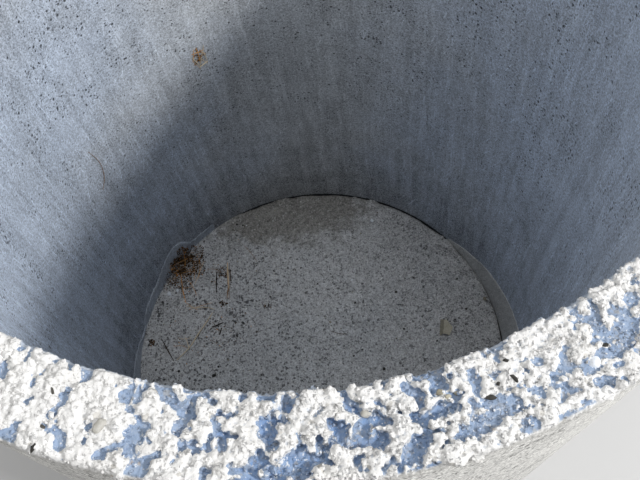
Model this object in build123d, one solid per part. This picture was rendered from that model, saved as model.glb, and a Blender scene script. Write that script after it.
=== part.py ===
from build123d import *
import os

# Concrete soakaway ring, standing upright on its foot.
# Millimetres, +Z up. The origin is the centre of the foot, on the level the ring stands on.

# Ring wall
bore_diameter = 1000.0
wall_thickness = 75.0
ring_height = 1500.0

# Eased edges of the wall: hand-floated at the crown, a mould arris at the foot
crown_edge_round = 9.0
foot_edge_chamfer = 5.0

# Base poured inside the foot, and the groove where it has shrunk away from the wall
base_thickness = 75.0
shrinkage_groove_width = 4.0
shrinkage_groove_depth = 10.0

# Sizes that follow from the ones above
bore_radius = bore_diameter / 2
outer_radius = bore_radius + wall_thickness


def make_ring_wall():
    """The wall, cast in one piece round its bore, with plain butt ends and eased edges."""
    tube = extrude(Circle(outer_radius) - Circle(bore_radius), ring_height)
    crown_edges = tube.edges().group_by(Axis.Z)[-1]
    tube = fillet(crown_edges, crown_edge_round)
    foot_edges = tube.edges().group_by(Axis.Z)[0]
    return chamfer(foot_edges, foot_edge_chamfer)


def make_base_slab():
    """The disc poured against the wall, flush with the foot, its top edge drawn in by the groove."""
    disc = extrude(Circle(bore_radius), base_thickness)
    top_edge = disc.edges().group_by(Axis.Z)[-1]
    top_face = disc.faces().sort_by(Axis.Z)[-1]
    return chamfer(top_edge, shrinkage_groove_width, shrinkage_groove_depth, reference=top_face)


os.makedirs("parts", exist_ok=True)
nodes = {"ring_wall": make_ring_wall(), "base_slab": make_base_slab()}
for name, shape in nodes.items():
    shape.label = name
    export_step(shape, f"parts/{name}.step")
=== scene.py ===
import itertools
import math

import bpy
import numpy as np
from mathutils import Matrix, Vector


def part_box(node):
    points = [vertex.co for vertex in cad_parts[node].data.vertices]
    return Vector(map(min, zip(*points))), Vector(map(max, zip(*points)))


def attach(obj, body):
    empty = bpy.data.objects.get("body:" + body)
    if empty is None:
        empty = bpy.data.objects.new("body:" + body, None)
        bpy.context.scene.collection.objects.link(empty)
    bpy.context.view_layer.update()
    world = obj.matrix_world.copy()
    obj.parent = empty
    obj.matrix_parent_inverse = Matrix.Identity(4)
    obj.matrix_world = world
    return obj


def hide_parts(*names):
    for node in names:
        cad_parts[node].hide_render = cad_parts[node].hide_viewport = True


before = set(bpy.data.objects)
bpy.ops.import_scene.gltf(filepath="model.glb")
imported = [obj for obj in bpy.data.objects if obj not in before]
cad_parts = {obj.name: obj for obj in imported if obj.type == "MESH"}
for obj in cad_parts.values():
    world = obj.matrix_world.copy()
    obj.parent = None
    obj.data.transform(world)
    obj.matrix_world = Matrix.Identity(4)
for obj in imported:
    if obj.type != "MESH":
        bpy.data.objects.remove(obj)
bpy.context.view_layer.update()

# Sizes of the ring, read from the frame, in metres
BORE_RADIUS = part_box("base_slab")[1][0]
OUTER_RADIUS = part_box("ring_wall")[1][0]
RIM_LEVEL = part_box("ring_wall")[1][2]
FLOOR_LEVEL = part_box("base_slab")[1][2]
MIDDLE_RADIUS = (BORE_RADIUS + OUTER_RADIUS) / 2
MM = 0.001

# The photograph's camera
FRAME_WIDTH_PX = 640
FRAME_HEIGHT_PX = 480
FOCAL_LENGTH_PX = 762.1
EYE = np.array((0.0, -0.666, 2.082))
YAW, PITCH, ROLL = (math.radians(angle) for angle in (1.64, 63.32, 4.49))
CAMERA_TURN = (
    Matrix.Rotation(-YAW, 4, "Z")
    @ Matrix.Rotation(math.pi / 2 - PITCH, 4, "X")
    @ Matrix.Rotation(-ROLL, 4, "Z")
)


def make_camera():
    data = bpy.data.cameras.new("photo_camera")
    data.sensor_width = 36.0
    data.lens = FOCAL_LENGTH_PX * data.sensor_width / FRAME_WIDTH_PX
    camera = new_object("photo_camera", data)
    camera.matrix_world = Matrix.Translation(EYE.tolist()) @ CAMERA_TURN
    bpy.context.scene.camera = camera


def sight_line(pixel):
    """The direction from the eye through a pixel of the photograph."""
    across = pixel[0] - FRAME_WIDTH_PX / 2
    up = FRAME_HEIGHT_PX / 2 - pixel[1]
    line = np.array(CAMERA_TURN.to_3x3()) @ np.array((across, up, -FOCAL_LENGTH_PX))
    return line / np.linalg.norm(line)


def on_level(pixel, level):
    """The point at a height above the ground that a pixel shows."""
    line = sight_line(pixel)
    return EYE + line * (level - EYE[2]) / line[2]


def on_bore(pixel, inset=0.0):
    """The point on the far side of the bore that a pixel shows, a little inside the wall."""
    line = sight_line(pixel)
    a = line[:2] @ line[:2]
    b = EYE[:2] @ line[:2]
    c = EYE[:2] @ EYE[:2] - (BORE_RADIUS - inset) ** 2
    return EYE + line * (-b + math.sqrt(b * b - a * c)) / a


def seen_at(points):
    """The pixels at which the photograph shows these points."""
    view = (points - EYE) @ np.array(CAMERA_TURN.to_3x3())
    scale = FOCAL_LENGTH_PX / -view[:, 2]
    across = FRAME_WIDTH_PX / 2 + view[:, 0] * scale
    down = FRAME_HEIGHT_PX / 2 - view[:, 1] * scale
    return np.stack((across, down), axis=1)


class Value:
    """A node's output, with the operators that add its Math nodes."""

    def __init__(self, tree, socket):
        self.tree = tree
        self.socket = socket

    def maths(self, operation, *others):
        """A Math node on this value and the others, in their order."""
        return self.tree.maths(operation, self, *others)

    def __add__(self, other):
        return self.maths("ADD", other)

    def __sub__(self, other):
        return self.maths("SUBTRACT", other)

    def __rsub__(self, other):
        return self.tree.maths("SUBTRACT", other, self)

    def __mul__(self, other):
        return self.maths("MULTIPLY", other)

    def __rtruediv__(self, other):
        return self.tree.maths("DIVIDE", other, self)

    def __pow__(self, other):
        return self.maths("POWER", other)

    __radd__ = __add__
    __rmul__ = __mul__

    def rising(self, low, high):
        """0 below low, 1 above high and a smooth step between. With low above high it falls."""
        return self.tree.add("ShaderNodeMapRange", {"interpolation_type": "SMOOTHSTEP"}, {
            "Value": self, "From Min": low, "From Max": high})


class Tree:
    """A node tree that is built one node at a time."""

    def __init__(self, tree):
        self.tree = tree

    def add(self, kind, settings=None, inputs=None, output=0):
        """Adds a node: its settings first, then the numbers or links of its sockets."""
        node = self.tree.nodes.new(kind)
        for name, setting in (settings or {}).items():
            if name == "stops":
                self.set_stops(node.color_ramp, setting)
            else:
                setattr(node, name, setting)
        for key, value in (inputs or {}).items():
            self.feed(self.find(node.inputs, key), value)
        return Value(self, self.find(node.outputs, output))

    def feed(self, socket, value):
        """Links a value to a socket, or several values to a Join Geometry socket, or sets a number."""
        if isinstance(value, Value):
            self.tree.links.new(value.socket, socket)
        elif isinstance(value, list):
            for each in value:
                self.tree.links.new(each.socket, socket)
        else:
            socket.default_value = value

    @staticmethod
    def find(sockets, key):
        """A socket by its number, or by its name among those in use."""
        if isinstance(key, int):
            return sockets[key]
        return next(socket for socket in sockets if socket.enabled and socket.name == key)

    @staticmethod
    def set_stops(ramp, stops):
        while len(ramp.elements) < len(stops):
            ramp.elements.new(0.5)
        for element, (place, colour) in zip(ramp.elements, stops):
            element.position = place
            element.color = (*colour, 1.0)

    def maths(self, operation, *terms):
        """A Math node of the given operation on the terms."""
        return self.add("ShaderNodeMath", {"operation": operation}, dict(enumerate(terms)))

    def vector(self, operation, *terms, output="Vector", **inputs):
        """A Vector Math node of the given operation on the terms."""
        return self.add(
            "ShaderNodeVectorMath", {"operation": operation}, {**dict(enumerate(terms)), **inputs}, output)

    def axis(self, place, name):
        """One coordinate of a place."""
        return self.add("ShaderNodeSeparateXYZ", inputs={"Vector": place}, output=name)

    def start_at(self, place):
        """Takes a vector as the place, with its coordinates and its distance from the ring's axis."""
        self.place = place
        self.x, self.y, self.height = (self.axis(place, name) for name in "XYZ")
        self.span = (self.x * self.x + self.y * self.y) ** 0.5

    def clouds(self, place, size, detail, roughness=0.5, output="Fac"):
        """Cloudy noise about 0.5, in patches of about the given size in metres."""
        return self.add("ShaderNodeTexNoise", inputs={
            "Vector": place, "Scale": 1 / size, "Detail": detail, "Roughness": roughness}, output=output)


class Finish(Tree):
    """A material made of nodes on Object coordinates."""

    def __init__(self, name, specular=0.35):
        self.material = bpy.data.materials.new(name)
        self.material.use_nodes = True
        super().__init__(self.material.node_tree)
        self.shader = self.tree.nodes["Principled BSDF"]
        self.shader.inputs["Specular IOR Level"].default_value = specular
        self.start_at(self.add("ShaderNodeTexCoord", output="Object"))

    def mapped(self, place, scale, shift):
        """A place stretched and then moved."""
        return self.add("ShaderNodeMapping", inputs={"Vector": place, "Scale": scale, "Location": shift})

    def noise(self, size, detail=3, roughness=0.55, offset=0.0):
        """Noise about 0.5. An offset makes it another pattern."""
        place = self.mapped(self.place, (1.0, 1.0, 1.0), (offset, 0.0, 0.0))
        return self.clouds(place, size, detail, roughness)

    def patches(self, size, low, high, **noise):
        """0 where the noise is below low, 1 where it is above high."""
        return self.noise(size, **noise).rising(low, high)

    def specks(self, spacing, radius, crowd=1.0):
        """1 in round specks of all sizes up to the given radius, larger where they crowd."""
        sockets = {"Vector": self.place, "Scale": 1 / spacing}
        distance = self.add("ShaderNodeTexVoronoi", inputs=sockets, output="Distance")
        colour = self.add("ShaderNodeTexVoronoi", inputs=sockets, output="Color")
        chance = self.add("ShaderNodeSeparateColor", inputs={"Color": colour}, output="Red")
        reach = chance * crowd * (radius / spacing)
        return (reach - distance).rising(0.0, 0.3 * radius / spacing)

    def cracks(self, size, width):
        """1 in the crooked cracks between crumbs of about the given size."""
        colour = self.clouds(self.place, size, 2, output="Color")
        bent = self.vector("MULTIPLY_ADD", colour, (size,) * 3, self.place)
        edge = self.add("ShaderNodeTexVoronoi", {"feature": "DISTANCE_TO_EDGE"}, {
            "Vector": bent, "Scale": 1 / size}, "Distance")
        return edge.rising(width / size, 0.2 * width / size)

    def streaks(self, width, detail, stretch, lean=0.0, offset=0.0):
        """Noise drawn out up the wall, leaning round the ring by a share of the height."""
        leaned = self.add("ShaderNodeVectorRotate", {"rotation_type": "Z_AXIS"}, {
            "Vector": self.place, "Angle": self.height * (lean / BORE_RADIUS)})
        drawn = self.mapped(leaned, (1.0, 1.0, stretch), (offset, 0.0, 0.0))
        return self.clouds(drawn, width, detail, 0.55)

    def far_from(self, pixel, reach):
        """How far a place on the floor is from what a pixel shows: 1 at the given reach in x and y."""
        centre = on_level(pixel, FLOOR_LEVEL)
        scale = (1 / reach[0], 1 / reach[1], 0.0)
        shift = (-centre[0] / reach[0], -centre[1] / reach[1], 0.0)
        return self.vector("LENGTH", self.mapped(self.place, scale, shift), output="Value")

    def attribute(self, name):
        return self.add("ShaderNodeAttribute", {"attribute_name": name}, output="Fac")

    def ramp(self, value, *stops):
        return self.add("ShaderNodeValToRGB", {"stops": stops}, {"Fac": value}, "Color")

    def blend(self, factor, first, second, kind="MIX"):
        """A colour that goes from the first to the second as factor goes from 0 to 1."""
        return self.add("ShaderNodeMix", {"data_type": "RGBA", "blend_type": kind}, {
            "Factor": factor, "A": as_colour(first), "B": as_colour(second)}, "Result")

    def coated(self, colour, *coats):
        """A colour with others laid over it in turn, each as strong as its factor."""
        for factor, coat in coats:
            colour = self.blend(factor, colour, coat)
        return colour

    def shade(self, colour, value):
        """A colour made darker or lighter by a value about 1."""
        grey = self.add("ShaderNodeCombineColor", inputs=dict.fromkeys(("Red", "Green", "Blue"), value))
        return self.blend(1.0, colour, grey, "MULTIPLY")

    def done(self, colour, roughness, relief=None):
        """Feeds the shader. The relief is a height in metres."""
        self.feed(self.shader.inputs["Base Color"], colour)
        self.feed(self.shader.inputs["Roughness"], roughness)
        if relief is not None:
            normal = self.add("ShaderNodeBump", inputs={"Height": relief, "Distance": 1.0})
            self.feed(self.shader.inputs["Normal"], normal)
        return self.material


def as_colour(colour):
    """A link as it is, or three numbers with an alpha of 1."""
    return colour if isinstance(colour, Value) else (*colour, 1.0)


class GrowingTree(Tree):
    """A geometry tree with named sizes as its inputs."""

    def __init__(self, name, **sizes):
        super().__init__(bpy.data.node_groups.new(name, "GeometryNodeTree"))
        interface = self.tree.interface
        interface.new_socket("Geometry", in_out="INPUT", socket_type="NodeSocketGeometry")
        interface.new_socket("Geometry", in_out="OUTPUT", socket_type="NodeSocketGeometry")
        for label, size in sizes.items():
            kind = "NodeSocketInt" if isinstance(size, int) else "NodeSocketFloat"
            interface.new_socket(label, in_out="INPUT", socket_type=kind).default_value = size
        self.entry = self.tree.nodes.new("NodeGroupInput")
        self.exit = self.tree.nodes.new("NodeGroupOutput")
        self.ground = self.size("Geometry")
        self.start_at(self.add("GeometryNodeInputPosition"))

    def size(self, label):
        return Value(self, self.entry.outputs[label])

    def number(self, name):
        """A number that is stored for each point."""
        return self.add(
            "GeometryNodeInputNamedAttribute", {"data_type": "FLOAT"}, {"Name": name}, "Attribute")

    def chance(self, low, high, seed):
        """A random number or vector between low and high for each point."""
        kind = "FLOAT_VECTOR" if isinstance(low, tuple) else "FLOAT"
        return self.add("FunctionNodeRandomValue", {"data_type": kind}, {
            "Min": low, "Max": high, "Seed": seed}, "Value")

    def upward(self, low, high):
        """1 on faces that look up, 0 on steep ones."""
        return self.axis(self.add("GeometryNodeInputNormal"), "Z").rising(low, high)

    def moved(self, geometry, offset):
        return self.add("GeometryNodeSetPosition", inputs={"Geometry": geometry, "Offset": offset})

    def roughened(self, geometry, size, depth):
        """Moves points by noise with lumps of the given size, by up to about the depth."""
        centred = self.vector("SUBTRACT", self.clouds(self.place, size, 1, output="Color"), (0.5, 0.5, 0.5))
        return self.moved(geometry, self.vector("SCALE", centred, Scale=2.0 * depth))

    def tinted(self, geometry, tint, domain="INSTANCE"):
        """Stores a tint for each copy, or for each point."""
        return self.add("GeometryNodeStoreNamedAttribute", {"data_type": "FLOAT", "domain": domain}, {
            "Geometry": geometry, "Name": "tint", "Value": tint})

    def copies(self, points, piece, turn, scale, tint):
        """A copy of a piece on each point, with its own turn, scale and tint."""
        turned = self.add("FunctionNodeEulerToRotation", inputs={"Euler": turn})
        placed = self.add("GeometryNodeInstanceOnPoints", inputs={
            "Points": points, "Instance": piece, "Rotation": turned, "Scale": scale})
        return self.add("GeometryNodeRealizeInstances", inputs={"Geometry": self.tinted(placed, tint)})

    def lumps(self, ground, kind, factor, seed, tilt):
        """Rough stones of one kind on a mesh, leaning by up to the tilt."""
        name, _, _, _, _, faces, low = kind
        smallest, largest = self.size("Smallest " + name), self.size("Largest " + name)
        points = self.add("GeometryNodeDistributePointsOnFaces", {"distribute_method": "POISSON"}, {
            "Mesh": ground, "Density Factor": factor, "Density Max": self.size(name + "s"),
            "Distance Min": self.size(name + " Spacing"), "Seed": seed}, "Points")
        stone = self.add("GeometryNodeMeshIcoSphere", inputs={"Radius": 1.0, "Subdivisions": faces})
        reach = self.chance(0.0, 1.0, seed) ** 2.0 * (largest - smallest) + smallest
        squash = self.chance((0.75, 0.7, low), (1.25, 1.1, low * 1.7), seed)
        turn = self.chance((-tilt, -tilt, -math.pi), (tilt, tilt, math.pi), seed)
        tint = self.chance(0.0, 1.0, seed + 50)
        stones = self.copies(points, stone, turn, self.vector("SCALE", squash, Scale=reach), tint)
        return self.roughened(stones, (smallest + largest) * 0.45, (smallest + largest) * 0.28)

    def layers(self, ground, kinds, factors, tilt=math.pi):
        """Stones of each kind on a mesh, as thick as its factor says."""
        return [self.lumps(ground, kind, factor, self.size("Seed") + step, tilt)
                for step, (kind, factor) in enumerate(zip(kinds, factors))]

    def joined(self, parts):
        return self.add("GeometryNodeJoinGeometry", inputs={"Geometry": parts})

    def done(self, geometry, material, smooth=True):
        """Ends the tree: plain geometry in one material."""
        plain = self.add("GeometryNodeRealizeInstances", inputs={"Geometry": geometry})
        shaded = self.add("GeometryNodeSetShadeSmooth", inputs={"Geometry": plain, "Shade Smooth": smooth})
        painted = self.add("GeometryNodeSetMaterial", inputs={"Geometry": shaded, "Material": material})
        self.feed(self.exit.inputs["Geometry"], painted)
        return self.tree


def stone_sizes(kinds):
    """The named sizes of kinds of stones: number a square metre, radii and spacing."""
    sizes = {}
    for name, number, smallest, largest, spacing, _, _ in kinds:
        sizes[name + "s"] = number
        sizes["Smallest " + name] = smallest * MM
        sizes["Largest " + name] = largest * MM
        sizes[name + " Spacing"] = spacing * MM
    return sizes


def grow(ground, tree):
    """Puts a geometry tree on an object, with its sizes set by the sockets' identifiers."""
    modifier = ground.modifiers.new(tree.name, "NODES")
    modifier.node_group = tree
    for item in tree.interface.items_tree:
        if item.in_out == "INPUT" and hasattr(item, "default_value"):
            modifier[item.identifier] = item.default_value


def plain_mesh(ground, name):
    """The evaluated result as a plain mesh. The object that it grew on is removed."""
    bpy.context.view_layer.update()
    evaluated = ground.evaluated_get(bpy.context.evaluated_depsgraph_get())
    mesh = bpy.data.meshes.new_from_object(evaluated)
    mesh.name = name
    bpy.data.objects.remove(ground)
    return mesh


def new_mesh(name, points, *face_lists):
    """A mesh from its points and arrays of faces, one array for each number of corners."""
    mesh = bpy.data.meshes.new(name)
    corners = np.concatenate([faces.ravel() for faces in face_lists]).astype(np.int32)
    counts = np.concatenate([np.full(len(faces), faces.shape[1]) for faces in face_lists])
    starts = np.concatenate(([0], np.cumsum(counts)[:-1])).astype(np.int32)
    mesh.vertices.add(len(points))
    mesh.vertices.foreach_set("co", np.ascontiguousarray(points, np.float32).ravel())
    mesh.loops.add(len(corners))
    mesh.loops.foreach_set("vertex_index", corners)
    mesh.polygons.add(len(counts))
    mesh.polygons.foreach_set("loop_start", starts)
    mesh.update(calc_edges=True)
    mesh.validate()
    return mesh


def read_points(mesh, what):
    """The places or the normals of a mesh's points."""
    values = np.empty(len(mesh.vertices) * 3)
    mesh.vertices.foreach_get(what, values)
    return values.reshape(-1, 3)


def store(mesh, name, values, domain="POINT"):
    """Stores a number for each point, or for each face, of a mesh."""
    mesh.attributes.new(name, "FLOAT", domain).data.foreach_set("value", np.asarray(values, np.float32))


def smooth_shaded(mesh, sharp_from=None):
    """Smooth shading, with the edges sharper than an angle in degrees kept sharp."""
    mesh.polygons.foreach_set("use_smooth", np.ones(len(mesh.polygons), bool))
    if sharp_from:
        mesh.set_sharp_from_angle(angle=math.radians(sharp_from))
    mesh.update()


def new_object(name, data):
    thing = bpy.data.objects.new(name, data)
    bpy.context.collection.objects.link(thing)
    return thing


def add_piece(name, mesh, material, stands_for=None):
    """A finished piece on the part's body."""
    mesh.materials.clear()
    mesh.materials.append(material)
    mesh.polygons.foreach_set("material_index", np.zeros(len(mesh.polygons), np.int32))
    piece = new_object(name, mesh)
    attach(piece, "root")
    if stands_for:
        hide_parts(stands_for)
    return piece


CLOUD_CELLS = 8192
CLOUD_SHIFT = 512.0      # keeps every cell's number above 0
CLOUD_PRIMES = (73856093, 19349663, 83492791)      # they strew the cells over the table


def cloud(points, size, seed):
    """Smooth noise from -1 to 1 at each point, with patches of about the given size."""
    table = np.random.default_rng(seed).uniform(-1, 1, CLOUD_CELLS)
    scaled = points / size + CLOUD_SHIFT
    cell = np.floor(scaled).astype(np.int64)
    part = scaled - cell
    part = part * part * (3 - 2 * part)
    total = np.zeros(len(points))
    for corner in itertools.product((0, 1), repeat=3):
        x, y, z = ((cell + corner) * CLOUD_PRIMES).T
        total += table[(x ^ y ^ z) % CLOUD_CELLS] * np.prod(np.where(corner, part, 1 - part), axis=1)
    return total


def waves(points, kinds):
    """Smooth heights of several sizes together. A kind is (height in mm, size in metres, seed)."""
    return sum(height * MM * cloud(points, size, seed) for height, size, seed in kinds)


def smooth_step(low, high, x):
    t = np.clip((x - low) / (high - low), 0, 1)
    return t * t * (3 - 2 * t)


def window(fade_in, fade_out, x):
    return smooth_step(*fade_in, x) * smooth_step(*fade_out, x)


def polar(radius, angle, level):
    """Points from a radius, an angle in radians from +X and a height."""
    return np.stack((radius * np.cos(angle), radius * np.sin(angle), level + 0 * angle), axis=-1)


def span_of(points):
    """Metres from the ring's axis."""
    return np.linalg.norm(points[:, :2], axis=1)


def turn_of(points):
    """Degrees round the ring from +X."""
    return np.degrees(np.arctan2(points[:, 1], points[:, 0]))


def grid_faces(rows, columns, wrap_rows=False, wrap_columns=False):
    """The four-sided faces of a grid of points, row by row."""
    row = np.arange(rows if wrap_rows else rows - 1)[:, None]
    column = np.arange(columns if wrap_columns else columns - 1)[None, :]
    next_row, next_column = (row + 1) % rows, (column + 1) % columns
    corners = (row * columns + column, row * columns + next_column,
               next_row * columns + next_column, next_row * columns + column)
    return np.stack(corners, axis=-1).reshape(-1, 4)


# Crown: the rough rim, struck off by hand, of open dry concrete
CROWN_DEPTH = 28 * MM          # how far the crown's casting reaches down into the wall
CROWN_BED = 9.5 * MM           # how far the bottoms of its hollows lie below the rim level
CROWN_MASS = 8.5 * MM          # how far its masses stand above the hollows
CROWN_MESH = 2.0 * MM
CROWN_SIDE = 6 * MM            # the straight foot of its sides
CROWN_EDGE_ROUND = 5 * MM
CROWN_EDGE_INSET = 0.4 * MM
CROWN_OVERLAP = math.radians(0.6)
CROWN_WAVES = ((1.6, 0.10, 11), (1.0, 0.018, 13))      # height in mm, size in metres, seed
DRAG_CENTRE = np.array((-0.2, -0.48, 0.0))
DRAG_WAY = np.array((0.6, 0.8, 0.0))
HOLLOW_REACH = 3.6 * MM
HOLLOW_SEEN = 4 * MM           # the depth at which the photograph shows the hollows' outlines
PICTURE_FOOT_PX = (458, 450)
# Name, first and last angle in degrees from +X, grain of the mesh
CROWN_PARTS = (
    ("crown_near_left", -130, -91, 1.35 * MM),
    ("crown_near_right", -91, -52, 1.35 * MM),
    ("crown_right", -52, 40, 3.1 * MM),
    ("crown_far", 40, 132, 3.1 * MM),
    ("crown_left", 132, 230, 3.1 * MM),
)
# Stretches of the rim in degrees: where each fades in and out
SHOWN_STRETCH = ((-124, -119), (-56, -60))
NEAR_STRETCH = ((-130, -122), (-50, -58))
MIDDLE_STRETCH = ((-104, -97), (-75, -82))
RIGHT_STRETCH = ((-80, -68), (-50, -58))
# Kinds of stones: name, number a square metre, smallest and largest radius and spacing in mm,
# fineness of the mesh, least height for the width
BEDDED_STONES = (
    ("Stone", 7000.0, 3.8, 9.0, 8.5, 3, 0.36),
    ("Pebble", 22000.0, 1.9, 4.4, 5.0, 2, 0.55),
    ("Crumb", 60000.0, 0.9, 2.2, 2.6, 1, 0.6),
)
LOOSE_GRAINS = (
    ("Grain", 26000.0, 0.7, 2.1, 2.4, 1, 0.55),
    ("Chip", 3600.0, 1.9, 4.8, 7, 1, 0.55),
)
# The hollows that the photograph shows: pixel, half length and half width in pixels, slant in degrees
CROWN_HOLLOWS = (
    (21, 348, 6, 4, 20), (28, 358, 10, 3.2, 80), (50, 368, 15, 3.2, 42), (33, 385, 7, 2.5, 75),
    (10, 380, 7, 2.5, 30), (26, 403, 10, 3.2, 20), (86, 375, 10, 7, 80), (76, 386, 6, 1.8, 35),
    (65, 397, 14, 7.5, 62), (53, 414, 11, 6, 45), (8, 435, 12, 8.5, 10), (18, 426, 10, 4.5, 20),
    (59, 439, 12, 8.5, 88), (33, 446, 8, 2, 60), (92, 400, 9, 2.5, 45), (106, 405, 6, 2, 65),
    (125, 397, 9, 5.5, 60), (131, 386, 8, 4.5, 70), (116, 388, 5, 2, 80), (138, 398, 12, 4.5, 75),
    (130, 410, 7, 4, 20), (138, 418, 5, 3, -40), (130, 431, 6, 3.5, 80), (141, 437, 9, 4.5, 80),
    (128, 447, 9, 3.5, 10), (112, 451, 8, 2.5, 10), (157, 385, 6, 4, 60), (158, 396, 6, 1.6, -60),
    (40, 422, 6, 1.6, -60), (166, 430, 6, 2.6, 80), (190, 389, 5, 2.5, 0), (204, 393, 7, 5.5, -20),
    (188, 401, 5, 3.5, 60), (213, 401, 6, 4.5, 20), (191, 413, 8.5, 6.5, 10), (176, 426, 9, 5, 70),
    (182, 444, 8, 5, -50), (199, 450, 8, 4, 0), (208, 441, 9, 2, 55), (218, 414, 8, 3, 10),
    (218, 428, 6, 5, 10), (229, 421, 8, 2.5, 90), (224, 441, 10, 5.5, 80), (235, 437, 5, 2.5, 0),
    (243, 397, 4.5, 2.5, 70), (266, 395, 11, 5.5, -28), (286, 406, 8, 5, -75), (275, 420, 12, 5.5, 18),
    (268, 432, 10, 8, 80), (272, 446, 8, 6, 60), (303, 391, 7, 5, 60), (302, 437, 7, 6, -45),
    (298, 449, 4, 4, 0), (315, 436, 10, 3, 88), (322, 435, 7, 4, 80), (319, 449, 13, 5, 0),
    (337, 387, 7, 4.5, 0), (345, 395, 6, 2, -70), (337, 426, 11, 8, -42), (342, 441, 8, 3.5, -80),
    (355, 409, 8, 4, -35), (378, 419, 15, 7, -5), (361, 432, 13, 6.5, 78), (358, 444, 10, 7, 10),
    (380, 441, 11, 8, 80), (384, 381, 8, 4, -70), (372, 392, 6, 2.5, 80), (399, 407, 6, 3, 80),
    (415, 409, 6, 4.5, 20), (410, 418, 8, 3.5, -30), (430, 418, 9, 7, 10), (424, 439, 14, 8.5, 35),
    (417, 448, 9, 5, 0), (436, 381, 9, 7, 0), (430, 369, 10, 3.5, 12), (451, 408, 10, 5, -12),
    (446, 446, 7, 4, 80), (440, 431, 6, 4, -20), (465, 436, 9, 7.5, 10), (462, 394, 11, 4, 5),
    (476, 384, 11, 5, -80), (481, 424, 10, 7, 0), (413, 391, 9, 3, -30), (505, 405, 21, 11, 0),
    (484, 424, 15, 8, 10), (515, 386, 9, 5, 20), (538, 392, 10, 6, -10), (531, 424, 10, 8, 0),
    (567, 389, 14, 6, -12), (572, 366, 6, 5, 0), (590, 366, 14, 11, 10), (600, 382, 13, 5, 0),
    (612, 353, 15, 6, 10), (626, 344, 10, 7, 10), (599, 331, 10, 6, -60), (588, 324, 6, 3, 0),
    (574, 325, 7, 3, -70), (575, 309, 7, 5, 60), (551, 314, 7, 5, 60), (497, 348, 9, 4, 25),
    (617, 311, 7, 5, 0), (628, 318, 8, 3, -70), (632, 300, 8, 6, 30), (564, 356, 10, 4, 80),
    (537, 363, 7, 3.5, -20), (471, 371, 8, 6, 60), (618, 365, 6, 3, 0), (634, 331, 7, 6, 80),
    (470, 402, 8, 4, 30), (521, 362, 6, 3, 10), (497, 372, 6, 3, 40),
)


def crown_section():
    """Radius and height round the crown's own block: up the inside, across and down the outside."""
    inner = BORE_RADIUS + CROWN_EDGE_INSET
    outer = OUTER_RADIUS - CROWN_EDGE_INSET
    top = RIM_LEVEL - CROWN_BED
    low = RIM_LEVEL - CROWN_DEPTH
    turns = np.linspace(0, math.pi / 2, 5)
    corner = CROWN_EDGE_ROUND * np.stack((1 - np.cos(turns), np.sin(turns) - 1), axis=1)
    up_inside = [(inner, low), (inner, low + CROWN_SIDE)] + [(inner + r, top + z) for r, z in corner]
    flat = outer - inner - 2 * CROWN_EDGE_ROUND
    steps = np.linspace(0, 1, int(flat / CROWN_MESH) + 1)[1:-1]
    across = [(inner + CROWN_EDGE_ROUND + flat * step, top) for step in steps]
    down_outside = [(outer - r, top + z) for r, z in corner[::-1]]
    return np.array(up_inside + across + down_outside + [(outer, low + CROWN_SIDE), (outer, low)])


def crown_masses(points):
    """1 where the concrete stands up in crusty masses, 0 in the open hollows between them."""
    flat = points * (1, 1, 0)
    turn = turn_of(flat)
    drawn_out = 0.45 * smooth_step(-100, -108, turn)
    place = flat - (drawn_out * ((flat - DRAG_CENTRE) @ DRAG_WAY))[:, None] * DRAG_WAY
    warp = np.stack([cloud(place, 10 * MM, seed) for seed in (18, 19, 12)], axis=1)
    bent = place + 4.5 * MM * warp
    middling, fine = cloud(bent, 13 * MM, 16), cloud(place, 5.5 * MM, 17)
    mix = 0.75 * cloud(bent, 28 * MM, 15) + 0.9 * middling + 0.7 * fine
    spots = seen_at(flat + (0, 0, RIM_LEVEL - HOLLOW_SEEN))
    shown = window(*SHOWN_STRETCH, turn) * smooth_step(*PICTURE_FOOT_PX, spots[:, 1])
    closed = -0.28 - 0.34 * shown
    ragged = 2.6 * cloud(bent, 11 * MM, 16) + 3.2 * cloud(place, 4.8 * MM, 17)
    ragged *= 1 - 0.55 * smooth_step(-101, -106, turn) - 0.3 * smooth_step(-84, -78, turn)
    ragged += 1.4 * cloud(place, 2.6 * MM, 26) + 1.1 * smooth_step(-101, -96, turn)
    rightward = smooth_step(-92, -78, turn)
    gap = -0.52 + 0.16 * rightward
    shallow = 0.5 - 0.1 * rightward
    crust = smooth_step(gap - 0.08, gap + 0.08, cloud(place + 2.5 * MM * warp, 6.0 * MM, 24))
    return np.minimum.reduce((
        smooth_step(closed - 0.12, closed + 0.12, mix),
        smooth_step(1.3, -1.3, inside_hollows(spots) + ragged),
        shallow + (1 - shallow) * crust,
    ))


def inside_hollows(spots):
    """How many pixels inside the nearest of the photographed hollows each spot lies."""
    deepest = np.full(len(spots), -20.0)
    for x, y, length, width, slant in CROWN_HOLLOWS:
        turn = math.radians(slant)
        across, up = spots[:, 0] - x, y - spots[:, 1]
        along = (across * math.cos(turn) + up * math.sin(turn)) / length
        aside = (up * math.cos(turn) - across * math.sin(turn)) / width
        deepest = np.maximum(deepest, (1 - np.hypot(along, aside)) * width)
    return deepest


def hollow_depth(turn):
    """Depth of the hollows as a share of the masses' height: shallow at the left, deep in the near middle."""
    return 0.9 + window(*NEAR_STRETCH, turn) * (0.67 * window(*MIDDLE_STRETCH, turn) - 0.40)


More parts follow.
